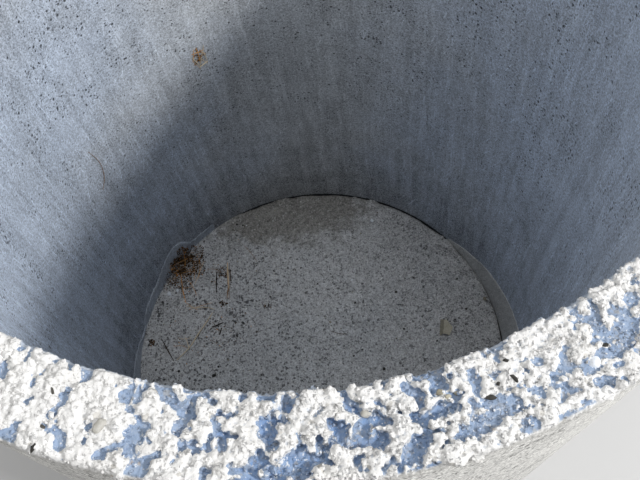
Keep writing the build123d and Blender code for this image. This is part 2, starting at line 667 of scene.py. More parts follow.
def crown_bed(first, last):
    """The crown's block between two angles, closed at its ends, with masses and hollows on top."""
    section = crown_section()
    start = math.radians(first) - CROWN_OVERLAP
    end = math.radians(last) + CROWN_OVERLAP
    angles = np.linspace(start, end, int((end - start) * OUTER_RADIUS / CROWN_MESH))
    radius, angle = np.meshgrid(section[:, 0], angles)
    level = np.broadcast_to(section[:, 1], radius.shape)
    points = polar(radius, angle, level).reshape(-1, 3)
    turn = turn_of(points)
    mass = crown_masses(points)
    height = smooth_step(section[0, 1], RIM_LEVEL - CROWN_BED, points[:, 2])
    points[:, 2] += height * (CROWN_MASS * (1 - hollow_depth(turn) * (1 - mass)) + waves(points, CROWN_WAVES))
    span = span_of(points)
    side = (span - MIDDLE_RADIUS) / (OUTER_RADIUS - BORE_RADIUS) * 2
    lip = 2.0 * MM * smooth_step(-98, -106, turn) + 4.5 * MM * window(*RIGHT_STRETCH, turn)
    push = side * height * (1.0 * MM * cloud(points, 25 * MM, 14) - 1.2 * MM * (1 - mass) + lip * (side < 0))
    points[:, :2] *= (1 + push / span)[:, None]
    sides = grid_faces(len(angles), len(section), wrap_columns=True)
    start_cap = np.arange(len(section))[None, :]
    end_cap = start_cap[:, ::-1] + (len(angles) - 1) * len(section)
    mesh = new_mesh("crown_bed", points, sides[:, ::-1], start_cap, end_cap)
    store(mesh, "mass", mass)
    return mesh


def crown_tree(material):
    """Stones, pebbles and crumbs bedded in the crown, thick on its masses and thin in its hollows."""
    tree = GrowingTree("crown_stones", **stone_sizes(BEDDED_STONES), **{
        "Stone Thin Share": 0.10, "Thin Share": 0.24, "Fine Share": 0.75, "Seed": 7})
    buried = tree.height.maths("LESS_THAN", RIM_LEVEL - CROWN_BED - 13 * MM)
    open_top = tree.add("GeometryNodeDeleteGeometry", {"domain": "FACE"}, {
        "Geometry": tree.ground, "Selection": buried})
    off_inside = tree.span.rising(BORE_RADIUS + 2 * MM, BORE_RADIUS + 7 * MM)
    off_edge = off_inside * tree.span.rising(OUTER_RADIUS - 1 * MM, OUTER_RADIUS - 6 * MM) * 0.92 + 0.08
    thin = tree.x.rising(-0.22, -0.08) * 0.85 + 0.15
    mass = tree.number("mass")
    stony, gritty = (
        (mass * (1.0 - thin * tree.size(share)) + thin * tree.size(share)) * off_edge
        for share in ("Stone Thin Share", "Thin Share"))
    coarse = 1.0 - tree.x.rising(0.04, 0.16) * tree.size("Fine Share")
    stones = tree.layers(open_top, BEDDED_STONES, (stony * coarse, gritty, gritty), tilt=0.5)
    return tree.done(tree.joined([tree.ground, *stones]), material)


def skin_tree(material):
    """A gritty skin: every point moves along its normal by fine noise."""
    tree = GrowingTree("crown_grit", **{"Grit Size": 2.6 * MM, "Grit Depth": 1.9 * MM})
    noise = tree.clouds(tree.place, tree.size("Grit Size"), 2)
    depth = (noise - 0.5) * 2.0 * tree.size("Grit Depth")
    normal = tree.add("GeometryNodeInputNormal")
    return tree.done(tree.moved(tree.ground, tree.vector("SCALE", normal, Scale=depth)), material)


def grain_tree(material):
    """Sharp loose grains and chips over the crown's upper faces."""
    tree = GrowingTree("crown_grains", **stone_sizes(LOOSE_GRAINS), Seed=3)
    grains = tree.layers(tree.ground, LOOSE_GRAINS, [tree.upward(0.0, 0.6)] * 2)
    return tree.done(tree.joined(grains), material, smooth=False)


def mark_hollows(mesh, reach):
    """Stores how far each point lies below the smoothed surface round it, for the painted shade of creases.
    """
    place = read_points(mesh, "co")
    edges = np.empty(len(mesh.edges) * 2, np.int32)
    mesh.edges.foreach_get("vertices", edges)
    first, second = edges.reshape(-1, 2).T
    links = np.bincount(edges, minlength=len(place))[:, None].clip(1)
    smoothed = place.copy()
    for _ in range(reach):
        total = np.stack([
            np.bincount(first, column[second], len(place)) + np.bincount(second, column[first], len(place))
            for column in smoothed.T
        ], axis=1)
        smoothed = 0.5 * smoothed + 0.5 * total / links
    depth = np.einsum("ij,ij->i", smoothed - place, read_points(mesh, "normal")) / MM
    store(mesh, "hollow", depth)


def make_crown(material):
    """The crown's lengths, each voxelled into one skin, with loose grains on the near ones."""
    parts = []
    stones = crown_tree(material)
    grains = grain_tree(material)
    skin = skin_tree(material)
    for name, first, last, grain in CROWN_PARTS:
        block = new_object(name + "_block", crown_bed(first, last))
        grow(block, stones)
        remesh = block.modifiers.new("one_skin", "REMESH")
        remesh.mode = "VOXEL"
        remesh.voxel_size = grain
        remesh.use_smooth_shade = True
        grow(block, skin)
        mesh = plain_mesh(block, name)
        mark_hollows(mesh, int(round((HOLLOW_REACH / grain) ** 2)))
        store(mesh, "mass", crown_masses(read_points(mesh, "co")))
        smooth_shaded(mesh)
        crown = add_piece(name, mesh, material, "ring_wall")
        parts.append(crown)
        if "near" in name:
            ground = new_object(name + "_ground", crown.data.copy())
            grow(ground, grains)
            add_piece(name + "_grains", plain_mesh(ground, name + "_grains"), material)
    return parts


def crown_finish():
    """Pale dry concrete: light crusty masses, darker and bluer hollows, a few stained stones. The crust's
    paleness is partly painted sunlight; the blue-grey of the hollows, creases and inner face is painted
    shade.
    """
    finish = Finish("dry_open_concrete", specular=0.25)
    grit = finish.noise(3.2 * MM)
    sand = finish.noise(1.1 * MM, detail=2)
    below = RIM_LEVEL - finish.height + (grit - 0.5) * (3 * MM)
    inner_side = finish.span.rising(BORE_RADIUS + 3 * MM, BORE_RADIUS + 1 * MM)
    outer_side = finish.span.rising(OUTER_RADIUS - 3 * MM, OUTER_RADIUS - 1 * MM)
    sunken = (1.0 - finish.attribute("mass")) * below.rising(0.5 * MM, 4.5 * MM)
    ragged = (sunken + (grit - 0.5) * 0.6 + (sand - 0.5) * 0.35).rising(0.38, 0.60)
    open_hollow = ragged * (1.0 - inner_side - outer_side)
    crease_shade = (finish.attribute("hollow") + (grit - 0.5) * 1.4).rising(0.0, 0.95)
    pocks = finish.patches(4.4 * MM, 0.585, 0.635, detail=4, roughness=0.65, offset=5.0)
    # how strongly the marks show: faintly at the left, where the crust is washed pale as painted sunlight,
    # fully towards the right
    sun_faded_marks = finish.x.rising(-0.26, 0.05) * 0.85 + 0.15
    stained = finish.patches(9 * MM, 0.68, 0.74, detail=1, offset=3.0)
    rust = finish.patches(12 * MM, 0.72, 0.78, detail=2, offset=7.0)
    cracked = finish.cracks(4.6 * MM, 0.75 * MM) * finish.patches(13 * MM, 0.52, 0.62, detail=2, offset=23.0)
    # the crust is paler than the wall's concrete, partly as painted sunlight
    pale = finish.ramp(finish.noise(0.05, detail=4), (0.3, (0.85, 0.84, 0.82)), (0.7, (0.895, 0.89, 0.88)))
    colour = finish.coated(
        pale,
        # creases darkened bluish as painted shade, faintly at the left
        (crease_shade * sun_faded_marks * 0.65, (0.28, 0.33, 0.41)),
        (pocks * sun_faded_marks * 0.55, (0.33, 0.345, 0.37)),
        # the hollows, coloured blue-grey as painted shade
        (open_hollow * 0.94, hollow_shade_colour(finish, below)),
        # the inner face just below the top, blue-grey as painted shade like the wall
        (inner_side * below.rising(2 * MM, 6 * MM), (0.47, 0.53, 0.62)),
        # the outer face, pale and warm partly as painted sunlight
        (outer_side * below.rising(4 * MM, 16 * MM), (0.75, 0.74, 0.71)),
        (stained * 0.45, (0.45, 0.42, 0.36)),
        (rust * 0.5, (0.55, 0.40, 0.24)),
        (cracked * sun_faded_marks * 0.4, (0.36, 0.35, 0.34)))
    tone = 1.0 + (grit - 0.5) * 0.35 + (sand - 0.5) * 0.35
    relief = grit * (0.8 * MM) + sand * (0.4 * MM) - pocks * (1.2 * MM) - cracked * (0.4 * MM)
    return finish.done(finish.shade(colour, tone), 0.9, relief * (sun_faded_marks * 0.6 + 0.4))


def hollow_shade_colour(finish, below):
    """The bottoms of the hollows, coloured as painted shade: bluish and mottled on the near side, grey on the
    rest, darker where deeper, with pale grit and dark specks in them.
    """
    off_edge = finish.span.rising(BORE_RADIUS + 4 * MM, BORE_RADIUS + 12 * MM) * 0.8 + 0.2
    # darker as the hollow deepens, as painted shade, less so by the inner edge
    deep = below.rising(7 * MM, 14 * MM) * off_edge
    sky_shade = finish.blend(deep, (0.275, 0.37, 0.53), (0.125, 0.25, 0.49))
    grey = finish.blend(deep, (0.35, 0.385, 0.44), (0.15, 0.18, 0.23))
    mottle = finish.patches(6 * MM, 0.48, 0.66, detail=4, roughness=0.65, offset=11.0)
    sky_shade = finish.blend(mottle * 0.45, sky_shade, (0.40, 0.46, 0.55))
    return finish.coated(
        grey,
        # bluish on the near side as painted skylit shade
        (finish.y.rising(-0.24, -0.42), sky_shade),
        (finish.patches(3.4 * MM, 0.60, 0.64, offset=15.0) * 0.8, (0.80, 0.82, 0.84)),
        # dark bluish specks of painted shade in small pits
        (finish.patches(4.6 * MM, 0.63, 0.68, offset=19.0) * 0.6, (0.07, 0.12, 0.22)))


# Wall: smooth from the mould, with blowholes and faint drag marks
WALL_TOP = RIM_LEVEL - 21 * MM
WALL_COLUMNS = 240
WALL_ROW = 14 * MM
WALL_TOP_EASE = (3 * MM, 0.4 * MM)      # how far its hidden top is drawn in and raised
FOOT_CHAMFER = 5 * MM
BLOWHOLE_RADII = (1.0 * MM, 3.6 * MM)
BLOWHOLE_SIDES = 8
WALL_WAVES = ((0.7, 0.22, 21), (0.35, 0.06, 22))      # height in mm, size in metres, seed
OUTSIDE_INSET = 0.7 * MM      # draws the outside in by the height of its broad waves
# Blowholes that stand out: a chip, a cluster under it and a slanting row
WALL_HOLES_PX = (
    (588.6, 49), (571, 130), (566, 134), (575, 126), (608, 27), (608.8, 37), (609.5, 48), (610.5, 60),
    (611, 72), (612, 84), (612.5, 95), (613, 105),
)


def wall_profile():
    """Radius and height round the wall's section, up the inside, over the top and down the outside."""
    rows = int(round((WALL_TOP - FOOT_CHAMFER) / WALL_ROW))
    levels = np.linspace(FOOT_CHAMFER, WALL_TOP, rows + 1)
    ease, rise = WALL_TOP_EASE
    inside = [(BORE_RADIUS, level) for level in levels]
    top = [(BORE_RADIUS + ease, WALL_TOP + rise), (OUTER_RADIUS - ease, WALL_TOP + rise)]
    outside = [(OUTER_RADIUS, level) for level in levels[::-1]]
    foot = [(OUTER_RADIUS - FOOT_CHAMFER, 0.0), (BORE_RADIUS + FOOT_CHAMFER, 0.0)]
    return np.array(inside + top + outside + foot), rows


def into_wall(place):
    """The level direction into the concrete from a place on either face of the wall."""
    span = span_of(place)
    away = place * (1, 1, 0) / span[:, None]
    return away * np.where(span < MIDDLE_RADIUS, 1, -1)[:, None]


def blowholes(corners, rng):
    """A small hole in each face: the points round its mouth and round its bottom, and its deepest point."""
    count, sides = len(corners), BLOWHOLE_SIDES
    middle = corners.mean(axis=1)
    along = corners[:, 1] - corners[:, 0]
    across = corners[:, 3] - corners[:, 0]
    cell = np.minimum(np.linalg.norm(along, axis=1), np.linalg.norm(across, axis=1))
    along /= np.linalg.norm(along, axis=1)[:, None]
    across /= np.linalg.norm(across, axis=1)[:, None]
    smallest, largest = BLOWHOLE_RADII
    radius = smallest + (largest - smallest) * rng.random(count) ** 2.2
    room = (cell / 2 - radius) * 0.7
    middle = middle + along * (rng.uniform(-1, 1, count) * room)[:, None]
    middle = middle + across * (rng.uniform(-1, 1, count) * room)[:, None]
    turns = np.arange(sides) * math.tau / sides - 3 * math.pi / 4
    flat = rng.uniform(0.65, 1.0, count)[:, None]
    wobble = rng.uniform(0.85, 1.15, (count, sides))
    cosine = np.cos(turns) * wobble * radius[:, None]
    sine = np.sin(turns) * wobble * radius[:, None] * flat
    ring = middle[:, None] + cosine[..., None] * along[:, None] + sine[..., None] * across[:, None]
    into = into_wall(middle)
    low_ring = middle[:, None] + (ring - middle[:, None]) * 0.8 + (into * (0.8 * radius)[:, None])[:, None]
    return ring.reshape(-1, 3), low_ring.reshape(-1, 3), middle + into * (1.25 * radius)[:, None]


def pricked(points, quads, chosen, rng):
    """Opens a blowhole in each chosen face. Returns all points, faces and which points lie deep."""
    count, sides = len(chosen), BLOWHOLE_SIDES
    every_point = np.concatenate((points, *blowholes(points[quads[chosen]], rng)))
    deep = np.arange(len(every_point)) >= len(points) + count * sides
    rim = len(points) + np.arange(count * sides).reshape(count, sides)
    low = rim + count * sides
    pit = len(points) + 2 * count * sides + np.arange(count)
    faces3, faces4 = [], []
    for side, (here, there) in enumerate(zip(quads[chosen].T, np.roll(quads[chosen], -1, axis=1).T)):
        a, b, c = rim[:, 2 * side], rim[:, 2 * side + 1], rim[:, (2 * side + 2) % sides]
        faces3 += [np.stack(face, axis=1) for face in ((here, b, a), (here, there, b), (there, c, b))]
    for step in range(sides):
        after = (step + 1) % sides
        faces4.append(np.stack((rim[:, step], rim[:, after], low[:, after], low[:, step]), axis=1))
        faces3.append(np.stack((low[:, step], low[:, after], pit), axis=1))
    kept = np.delete(quads, chosen, axis=0)
    return every_point, np.concatenate((kept, *faces4)), np.concatenate(faces3), deep


def holed_faces(middle, inside, outside, rng):
    """The faces that get a blowhole: more high up on the inside, and the ones that stand out."""
    crowd = 0.5 + 0.5 * cloud(middle, 0.16, 32)
    crowd_inside = crowd * (0.35 + 0.65 * smooth_step(0.1, 1.4, middle[:, 2]))
    share = np.select((inside, outside), (0.03 + 0.12 * crowd_inside, 0.008 + 0.028 * crowd))
    marked = [int(np.argmin(np.linalg.norm(middle - on_bore(pixel), axis=1))) for pixel in WALL_HOLES_PX]
    return np.union1d(np.flatnonzero(rng.random(len(middle)) < share), marked)


def make_wall(material):
    profile, rows = wall_profile()
    angles = np.arange(WALL_COLUMNS) * math.tau / WALL_COLUMNS
    angle, radius = np.meshgrid(angles, profile[:, 0])
    level = np.broadcast_to(profile[:, 1][:, None], radius.shape)
    points = polar(radius, angle, level).reshape(-1, 3)
    wave = waves(points, WALL_WAVES)
    span = span_of(points)
    points[:, :2] *= (1 + np.where(span > MIDDLE_RADIUS, -OUTSIDE_INSET - wave, abs(wave)) / span)[:, None]
    quads = grid_faces(len(profile), WALL_COLUMNS, wrap_rows=True, wrap_columns=True)
    row = np.repeat(np.arange(len(profile)), WALL_COLUMNS)
    inside = row < rows
    outside = (row > rows + 2) & (row < 2 * rows + 3)
    rng = np.random.default_rng(31)
    chosen = holed_faces(points[quads].mean(axis=1), inside, outside, rng)
    points, quads, triangles, deep = pricked(points, quads, chosen, rng)
    mesh = new_mesh("ring_wall_skin", points, quads[:, ::-1], triangles[:, ::-1])
    # the blowholes' deep points, which the finish darkens as painted shade
    store(mesh, "pit", deep)
    smooth_shaded(mesh, 38)
    add_piece("ring_wall_skin", mesh, material, "ring_wall")


def wall_finish():
    """Bluish grey concrete as it left the mould: clouds, drag streaks, scratches and pinholes. The bluish
    tint inside, strongest towards the sides, is painted skylit shade; the paler, warmer outside is partly
    painted sunlight.
    """
    finish = Finish("moulded_concrete")
    height = finish.height
    clouds = finish.noise(0.30, detail=5)
    patches = finish.noise(0.04, detail=5, offset=2.0, roughness=0.65)
    bands = finish.streaks(0.022, 4, 0.08, lean=-0.05).rising(0.3, 0.7)
    drags = finish.streaks(0.009, 2, 0.07, lean=-0.07, offset=2.0).rising(0.56, 0.74)
    scratches = finish.streaks(0.005, 3, 0.05, lean=-0.12, offset=5.0).rising(0.60, 0.72)
    cross_scratches = finish.streaks(0.005, 2, 0.10, lean=0.35, offset=8.0).rising(0.63, 0.72)
    scratched = finish.patches(0.10, 0.40, 0.58, detail=2, offset=9.0)
    grains = finish.patches(4.2 * MM, 0.28, 0.72)
    sand = finish.patches(2.2 * MM, 0.3, 0.7, detail=1, offset=3.0)
    crowd = finish.patches(0.07, 0.34, 0.62, detail=4, offset=12.0) * (height.rising(-0.4, 1.1) * 0.75 + 0.25)
    pins = finish.specks(8 * MM, 3.4 * MM, crowd * 0.85 + 0.2)
    dots = finish.specks(4.6 * MM, 2.2 * MM, crowd * 0.6 + 0.4)
    flecks = finish.specks(12 * MM, 3.2 * MM, finish.patches(0.09, 0.45, 0.62, detail=2, offset=20.0))
    inside = finish.span.rising(BORE_RADIUS + 50 * MM, BORE_RADIUS + 30 * MM)
    weathered = finish.specks(17 * MM, 6.5 * MM, crowd) * (1.0 - inside)
    # darker towards the bottom of the bore
    darker_zone = (height + (patches - 0.5) * 0.15).rising(FLOOR_LEVEL + 0.40, FLOOR_LEVEL) * inside
    # painted shade on the wall's foot down in the gap under the floor's edge
    gap_shade = (FLOOR_LEVEL - height + (sand - 0.5) * (3 * MM)).rising(-1 * MM, 1 * MM) * inside

    tone = 1.0 + (clouds - 0.5) * 0.45 + (patches - 0.5) * 0.6 + (grains - 0.5) * 0.60 + (sand - 0.5) * 0.52
    tone = tone + ((bands - 0.5) * 0.24 + drags * 0.20) * (inside * 0.6 + 0.4) + flecks * 0.40
    tone = tone + (scratches + cross_scratches) * scratched * 0.42
    # darker low down, and lighter towards the top of the bore as painted light
    tone = tone - darker_zone * 0.38 + height.rising(0.45, 1.3) * inside * 0.18
    # the blowholes' deep points are darkened as painted shade
    marks = (1.0 - pins * 0.82) * (1.0 - dots * 0.60) * (1.0 - finish.attribute("pit") * 0.85)
    marks = marks * (1.0 - weathered * 0.35) * (1.0 - gap_shade * 0.9)
    # bluer towards the sides of the bore, as painted skylit shade
    sky_shade = (finish.x.maths("ABSOLUTE") + (clouds - 0.5) * 0.5).rising(0.05, 0.50)
    colour = finish.blend(sky_shade, (0.53, 0.54, 0.545), (0.49, 0.55, 0.645))
    # the outside is paler and warmer than the inside, partly as painted sunlight
    colour = finish.blend(inside, (0.76, 0.75, 0.72), colour)
    relief = grains * (0.2 * MM) + (sand + bands) * (0.12 * MM) + scratches * scratched * (0.2 * MM)
    relief = relief - pins * (0.9 * MM) - dots * (0.45 * MM)
    return finish.done(finish.shade(colour, tone * marks), 0.82, relief)


# Base: poured in the foot and floated by hand
BASE_CELLS = 244
BASE_GAP = 3.6 * MM
BASE_GAP_DEPTH = 12 * MM
BASE_FOOT_EASE = 4 * MM
BASE_WAVES = ((2.2, 0.25, 42), (1.0, 0.05, 43), (0.5, 0.016, 44))      # height in mm, size in metres, seed
BASE_GRAIN = ((0.5, 0.007, 45),)
BASE_EDGE_DROP = 4.0 * MM      # where the edge has broken down into an open gap
FLOOR_PITS = (1500, (2.0 * MM, 5.5 * MM), -0.55)      # number, radii, rise as a share of the radius
FLOOR_BUMPS = (1100, (2.0 * MM, 5.0 * MM), 0.4)
TROWELLED_PATCH_PX = (290, 208)
TROWELLED_PATCH_SIZE = (0.26, 0.13)
TROWEL_STEP = 19 * MM
TROWEL_RIDGE = 0.45 * MM
TROWEL_RISE = 1.0 * MM
TROWEL_CENTRE = (0.12, -0.16)      # from the patch's middle to the point that the ridges curve round
# The middle of a painted pool of light on the floor, which fades to painted shade away from it
PAINTED_LIGHT_CENTRE_PX = (255, 330)


def disc_grid(cells):
    """Points that fill a unit disc evenly, mapped from a square grid of the given cells."""
    line = np.linspace(-1, 1, cells + 1)
    a, b = (grid.ravel() for grid in np.meshgrid(line, line))
    wide = abs(a) > abs(b)
    with np.errstate(divide="ignore", invalid="ignore"):
        radius = np.where(wide, a, b)
        angle = np.where(wide, math.pi / 4 * b / a, math.pi / 2 - math.pi / 4 * a / b)
    angle = np.nan_to_num(angle)
    return radius * np.cos(angle), radius * np.sin(angle)


def gap_width(angle):
    """Width of the shrinkage gap: open at the far and right side, closed at the near left."""
    turn = np.degrees(angle)
    opening = smooth_step(-70, -25, turn) - smooth_step(108, 116, turn)
    bridged = smooth_step(94, 97, turn) - smooth_step(99, 102, turn)
    foot = polar(BORE_RADIUS, angle, 0.0)
    uneven = 0.85 + 0.5 * cloud(foot, 0.05, 47) + 0.35 * cloud(foot, 0.015, 48)
    return BASE_GAP * (0.08 + 0.92 * opening * (1 - 0.8 * bridged)) * uneven


def base_top():
    """The floated face: points in a square grid that is drawn to the wall."""
    x, y = disc_grid(BASE_CELLS)
    span = np.hypot(x, y)
    gap = gap_width(np.arctan2(y, x))
    edge = BORE_RADIUS - gap
    points = np.stack((x * edge, y * edge, np.full(len(x), FLOOR_LEVEL)), axis=1)
    ragged = 1.2 * MM * cloud(points, 0.03, 41) * smooth_step(0.9, 1.0, span)
    points[:, :2] *= (1 - abs(ragged) / BORE_RADIUS)[:, None]
    points[:, 2] += waves(points, BASE_WAVES)
    points[:, 2] += waves(points, BASE_GRAIN)
    points[:, 2] -= BASE_EDGE_DROP * smooth_step(0.985, 1.0, span) * (gap > 1.5 * MM)
    points[:, 2] += trowel_marks(points)
    rng = np.random.default_rng(46)
    for number, radii, rise in (FLOOR_PITS, FLOOR_BUMPS):
        stamp_pits(points, rng, number, radii, rise)
    return points


def make_base(material):
    points = base_top()
    quads = grid_faces(BASE_CELLS + 1, BASE_CELLS + 1)
    side = np.arange(BASE_CELLS)
    last = BASE_CELLS * (BASE_CELLS + 1)
    loop = np.concatenate((
        side, side * (BASE_CELLS + 1) + BASE_CELLS, last + BASE_CELLS - side, last - side * (BASE_CELLS + 1)))
    angle = np.arctan2(points[loop, 1], points[loop, 0])
    rings = [polar(radius, angle, level) for radius, level in (
        (BORE_RADIUS - 0.6 * MM, FLOOR_LEVEL - BASE_GAP_DEPTH), (BORE_RADIUS - 0.6 * MM, BASE_FOOT_EASE),
        (BORE_RADIUS - BASE_FOOT_EASE, 0.0), (BORE_RADIUS * 0.5, 0.0))]
    every_point = np.concatenate((points, *rings, [[0.0, 0.0, 0.0]]))
    loops = [loop] + [len(points) + step * len(loop) + np.arange(len(loop)) for step in range(len(rings))]
    walls = [
        np.stack((up, down, np.roll(down, -1), np.roll(up, -1)), axis=1)
        for up, down in zip(loops, loops[1:])
    ]
    centre = np.full(len(loop), len(every_point) - 1)
    fan = np.stack((loops[-1], centre, np.roll(loops[-1], -1)), axis=1)
    mesh = new_mesh("base_slab_top", every_point, quads, *walls, fan)
    smooth_shaded(mesh, 50)
    return add_piece("base_slab_top", mesh, material, "base_slab")


def trowel_marks(points):
    """Curved parallel ridges of a trowel in the far left part of the floor."""
    centre = on_level(TROWELLED_PATCH_PX, FLOOR_LEVEL)
    across, along = (points[:, axis] - centre[axis] for axis in (0, 1))
    off_middle = np.hypot(across / TROWELLED_PATCH_SIZE[0], along / TROWELLED_PATCH_SIZE[1])
    inside = 1 - smooth_step(0.5, 1.0, off_middle)
    reach = np.hypot(across - TROWEL_CENTRE[0], along - TROWEL_CENTRE[1])
    reach += 5 * MM * cloud(points, 0.07, 49)
    return inside * TROWEL_RIDGE * np.sin(reach * math.tau / TROWEL_STEP) + inside * TROWEL_RISE


def stamp_pits(points, rng, count, radii, rise):
    """Presses round pits into the floor, or raises round bumps where the rise is above 0."""
    spots = polar(BORE_RADIUS * np.sqrt(rng.random(count)) * 0.98, rng.uniform(0, math.tau, count), 0.0)
    sizes = radii[0] + (radii[1] - radii[0]) * rng.random(count) ** 2.5
    order = np.argsort(points[:, 0])
    across = points[order, 0]
    for spot, size in zip(spots, sizes):
        near = order[np.searchsorted(across, spot[0] - size):np.searchsorted(across, spot[0] + size)]
        near = near[abs(points[near, 1] - spot[1]) < size]
        span = np.hypot(points[near, 0] - spot[0], points[near, 1] - spot[1]) / size
        points[near, 2] += rise * size * np.sqrt(np.clip(1 - span * span, 0, 1))


def trowel_ridges(finish, clouds, patches):
    """The light and dark of the trowel's curved ridges, from -1 to 1."""
    patch = on_level(TROWELLED_PATCH_PX, FLOOR_LEVEL)
    centre = (patch[0] + TROWEL_CENTRE[0], patch[1] + TROWEL_CENTRE[1], FLOOR_LEVEL)
    reach = finish.vector("DISTANCE", finish.place, centre, output="Value")
    wave = (reach + (clouds - 0.5) * (50 * MM) + (patches - 0.5) * (16 * MM)) * (math.tau / TROWEL_STEP)
    return wave.maths("SINE")


def base_finish():
    """Coarse floated concrete: sandy grey, spotted with dark pits and pale grit, brown round the trowelled
    patch. Lighter round one spot and darker away from it, as painted light and shade, and darker down in the
    gap as painted shade.
    """
    finish = Finish("floated_concrete", specular=0.25)
    clouds = finish.noise(0.22, detail=5)
    patches = finish.noise(0.03, detail=4, offset=2.0)
    grit = finish.patches(6.0 * MM, 0.28, 0.72)
    sand = finish.patches(3.4 * MM, 0.3, 0.7, detail=1, offset=3.0)
    crowd = finish.patches(0.06, 0.35, 0.65, offset=12.0)
    stained = finish.x.rising(0.25, -0.35)
    blots = (finish.noise(8 * MM, offset=4.0) + stained * 0.035).rising(0.60, 0.66) * (crowd * 0.5 + 0.5)
    pits = finish.specks(14 * MM, 6.0 * MM, crowd * 0.7 + 0.3)
    dots = finish.specks(7 * MM, 3.2 * MM)
    pale_grit = finish.specks(8 * MM, 3.0 * MM)
    patch_edge = finish.far_from(TROWELLED_PATCH_PX, TROWELLED_PATCH_SIZE)
    darker_zone = (patch_edge + (patches - 0.5) * 1.2).rising(1.2, 0.6)
    # lighter round the painted light's middle and darker away from it: painted light and shade
    painted_falloff = (finish.far_from(PAINTED_LIGHT_CENTRE_PX, (0.5, 0.5)) + (clouds - 0.5) * 0.6).rising(0.3, 1.5)
    ridges = trowel_ridges(finish, clouds, patches) * darker_zone * clouds.rising(0.3, 0.5)
    # painted shade on the base's edge down in the gap
    gap_shade = (FLOOR_LEVEL - finish.height).rising(3 * MM, 6 * MM) * finish.height.rising(0.01, 0.02)

    colour = finish.coated(
        (0.47, 0.48, 0.49),
        (clouds.rising(0.35, 0.65), (0.56, 0.565, 0.57)),
        (darker_zone * 0.85, (0.285, 0.275, 0.25)),
        (pale_grit * 0.55, (0.72, 0.72, 0.70)))
    tone = 1.12 - painted_falloff * 0.36 + (patches - 0.5) * 0.55 + (grit - 0.5) * 0.44 + (sand - 0.5) * 0.46
    bare = 1.0 - darker_zone * 0.6
    spotted = bare * (stained * 0.35 + 0.65)
    marks = (1.0 - pits * spotted * 0.75) * (1.0 - dots * spotted * 0.62) * (1.0 - blots * bare * 0.74)
    colour = finish.shade(colour, (tone + ridges * 0.08) * marks * (1.0 - gap_shade * 0.8))
    relief = grit * (1.0 * MM) + sand * (0.6 * MM) - pits * (1.8 * MM)
    return finish.done(colour, 0.9, relief - dots * (0.9 * MM) - blots * (1.2 * MM))


# Mortar at the foot of the wall: a smear at the left, and a thin skirt up to an old slanting level
SKIRT_ANGLES = (-198.0, 37.0)
SKIRT_LOW_POINT = 102.0
SKIRT_SLANT = 0.45      # rise of the old level over a length of 1
SKIRT_MIDDLE = 0.47      # its height on the axis, as a share of its rise from there to the wall
SMEAR_ANGLES = (124.0, 166.0)
COAT_SHARES = (0.0, 0.1, 0.3, 0.5, 0.7, 0.85, 0.95, 1.0)     # rows up a coat of mortar
COAT_LIP_SHARES = (0.85, 0.95)
COAT_ROOT = 2.5 * MM      # how far a coat reaches into the wall
COAT_FOOT = 8 * MM      # how far it reaches below the floor
SMEAR_EDGE_PX = (
    (191, 242), (186, 242), (180, 242), (175, 244), (171, 249), (166, 258), (161, 271), (154.5, 288),
    (148, 305), (143.5, 324),
)


def skirt_height(turn):
    """Height of the skirt's edge above the floor, where a slanting level cuts the bore."""
    return SKIRT_SLANT * BORE_RADIUS * (SKIRT_MIDDLE - np.cos(np.radians(turn - SKIRT_LOW_POINT)))


def smear_height(turn):
    """Height of the smear's edge above the floor, through the pixels that show it."""
    edge = np.array([on_bore(pixel) for pixel in SMEAR_EDGE_PX])
    turns = turn_of(edge) % 360
    order = np.argsort(turns)
    return np.interp(turn, turns[order], (edge[:, 2] - FLOOR_LEVEL)[order])


def wall_coat(turns, heights, thickness, ragged, seed):
    """A thin closed coat on the bore from below the floor up to an uneven edge with a broken lip."""
    angles = np.radians(turns)
    low = FLOOR_LEVEL - COAT_FOOT
    ends = smooth_step(0, 12, np.arange(len(turns)))
    ends = ends * ends[::-1]
    foot = polar(BORE_RADIUS, angles, 0.0)
    uneven = cloud(foot, 0.018, seed) + cloud(foot, 0.007, seed + 4) * 0.6 + cloud(foot, 0.06, seed + 1)
    top = FLOOR_LEVEL + np.maximum(heights + ragged * uneven, 2 * MM)
    lip = 0.8 + 1.2 * smooth_step(0.0, 0.7, cloud(foot, 0.03, seed + 3))
    rows = []
    for share in COAT_SHARES:
        level = low + (top - low) * share
        front = polar(BORE_RADIUS, angles, level)
        swell = 1 + 0.35 * cloud(front, 0.03, seed + 2) + 0.2 * cloud(front, 0.009, seed + 5)
        edge = lip if share in COAT_LIP_SHARES else 0.8
        depth = thickness * ends * swell * (1.1 - 0.3 * share) * edge
        rows.append(polar(BORE_RADIUS - depth, angles, level))
    rows.append(polar(BORE_RADIUS + COAT_ROOT, angles, top + 0.6 * MM))
    rows.append(polar(BORE_RADIUS + COAT_ROOT, angles, low))
    start = (np.arange(len(rows)) * len(turns))[None, :]
    quads = grid_faces(len(rows), len(turns), wrap_rows=True)
    return np.concatenate(rows), quads[:, ::-1], start, start[:, ::-1] + len(turns) - 1


def make_mortar(material):
    for name, turns, height, thickness, ragged, seed in (
        ("mortar_skirt", np.arange(*SKIRT_ANGLES, 0.3), skirt_height, 2.4 * MM, 2.2 * MM, 51),
        ("mortar_smear", np.arange(*SMEAR_ANGLES, 0.25), smear_height, 3.0 * MM, 5.0 * MM, 55),
    ):
        mesh = new_mesh(name, *wall_coat(turns, height(turns), thickness, ragged, seed))
        smooth_shaded(mesh, 45)
        add_piece(name, mesh, material)


